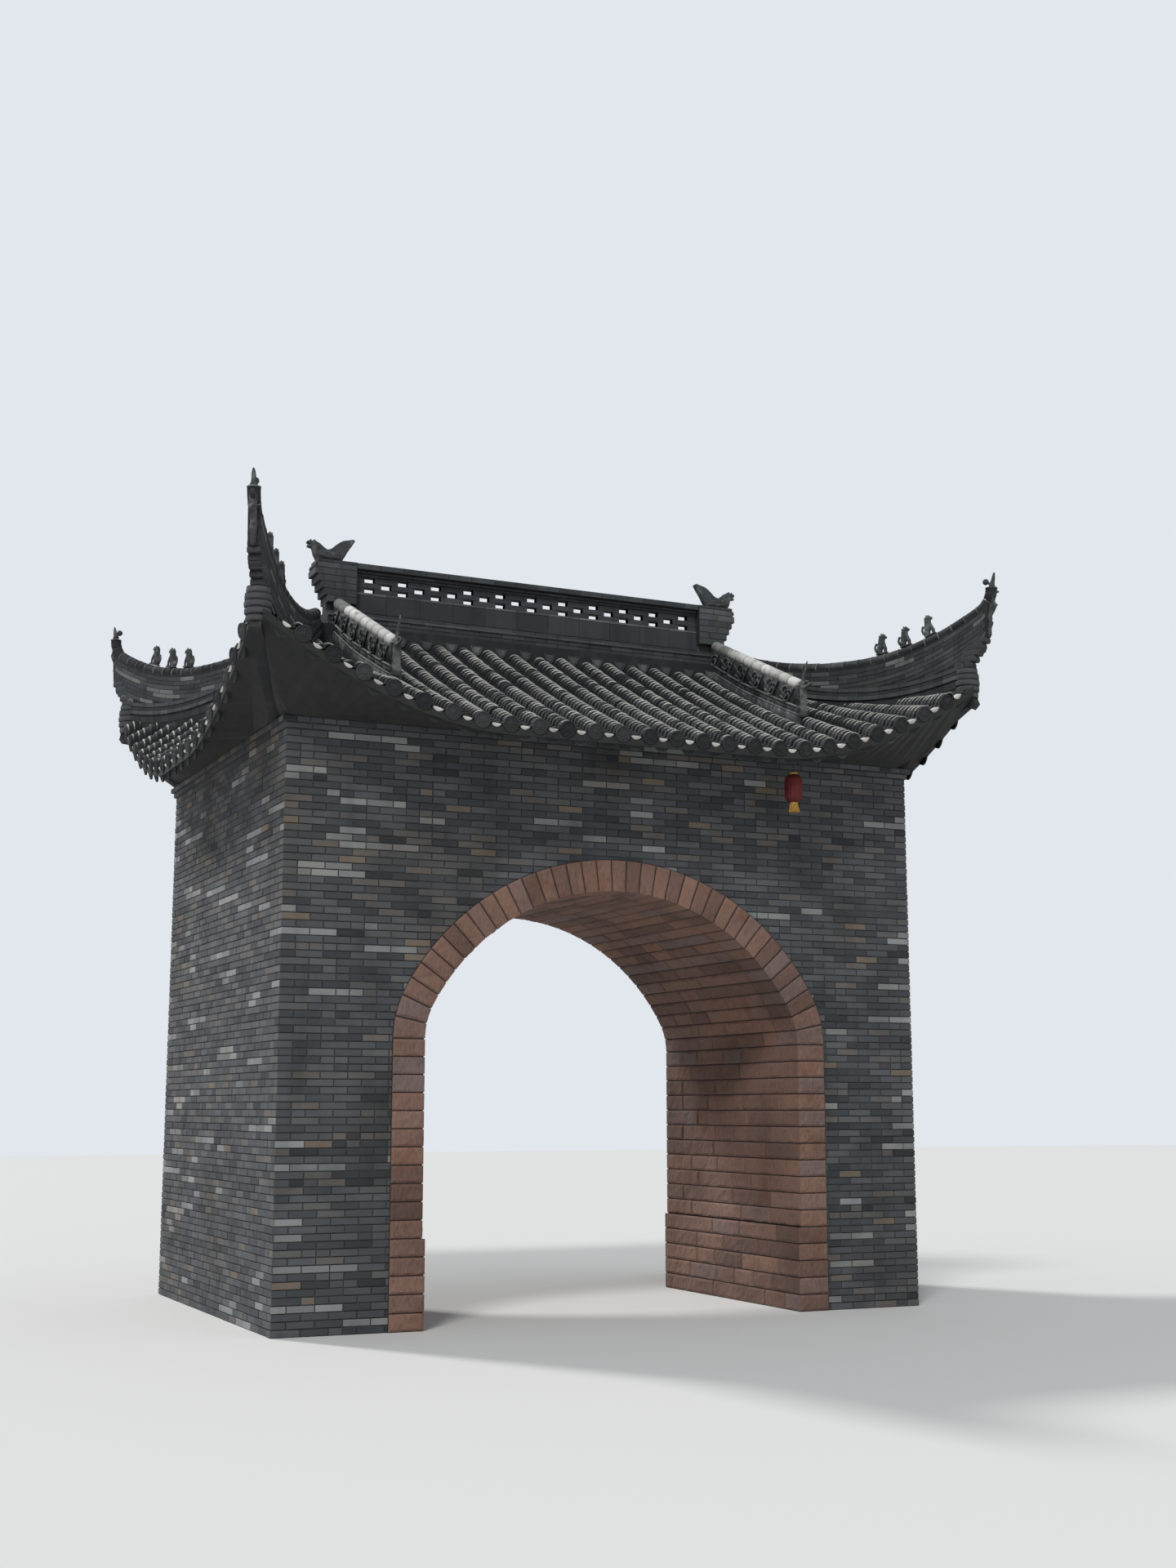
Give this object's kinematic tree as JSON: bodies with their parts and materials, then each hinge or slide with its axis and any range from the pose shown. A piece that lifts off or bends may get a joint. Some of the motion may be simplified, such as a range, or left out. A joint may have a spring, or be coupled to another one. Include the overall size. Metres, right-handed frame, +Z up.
{
  "type": "roofed brick arch gateway",
  "caption": "Gateway of grey brick with a stone-lined arched passage under a hipped roof of curved grey tiles, with upswept corner ridges, a pierced main ridge and a small hanging lantern.",
  "frame": {"origin": "On the ground, at the middle of the block's base", "axes": "+Z up, X along the ridge across the front, +Y along the passage from the front face to the rear face; the front faces -Y"},
  "size_m": [7.5378, 5.9414, 7.44],
  "materials": {
    "brick": "matte, fired grey brick",
    "sandstone": "matte, rock-faced",
    "roof_tile": "matte, weathered",
    "ridge_masonry": "matte, weathered grey brick and tile",
    "fired_ornament": "matte, fired clay",
    "iron": "rusty wire",
    "red_cloth": "thin cloth over a light frame",
    "gold_thread": "thread"
  },
  "bodies": {
    "gate": {"left_pier": "brick", "right_pier": "brick", "wall_over_arch": "brick", "bay_vault": "brick", "eave_cornice": "brick", "left_jamb": "sandstone", "right_jamb": "sandstone", "passage_vault": "sandstone", "front_arch_ring": "sandstone", "rear_surround": "sandstone", "roof_front": "roof_tile", "roof_back": "roof_tile", "roof_left": "roof_tile", "roof_right": "roof_tile", "tile_rows_front": "roof_tile", "tile_rows_back": "roof_tile", "tile_rows_left": "roof_tile", "tile_rows_right": "roof_tile", "ridge_base": "ridge_masonry", "ridge_panel_band": "ridge_masonry", "ridge_pierced_band": "ridge_masonry", "ridge_top_course": "ridge_masonry", "ridge_end_left": "ridge_masonry", "ridge_end_right": "ridge_masonry", "side_ridge_front_left": "ridge_masonry", "side_ridge_front_right": "ridge_masonry", "side_ridge_back_left": "ridge_masonry", "side_ridge_back_right": "ridge_masonry", "hip_ridge_front_left": "ridge_masonry", "hip_ridge_front_right": "ridge_masonry", "hip_ridge_back_left": "ridge_masonry", "hip_ridge_back_right": "ridge_masonry", "ridge_finial_left": "fired_ornament", "ridge_finial_right": "fired_ornament", "hip_tip_front_left": "fired_ornament", "hip_tip_front_right": "fired_ornament", "hip_tip_back_left": "fired_ornament", "hip_tip_back_right": "fired_ornament", "beasts_front_left": "fired_ornament", "beasts_front_right": "fired_ornament", "beasts_back_left": "fired_ornament", "beasts_back_right": "fired_ornament", "lantern_hook": "iron"},
    "lantern": {"lantern_body": "red_cloth", "lantern_tassel": "gold_thread"}
  },
  "joints": [
    {"name": "lantern_swing", "type": "hinge", "parent": "gate", "child": "lantern", "pos_m": [1.62, -2.5, 5.05737], "axis": [0, 1, 0], "range_deg": [-20, 20]}
  ]
}
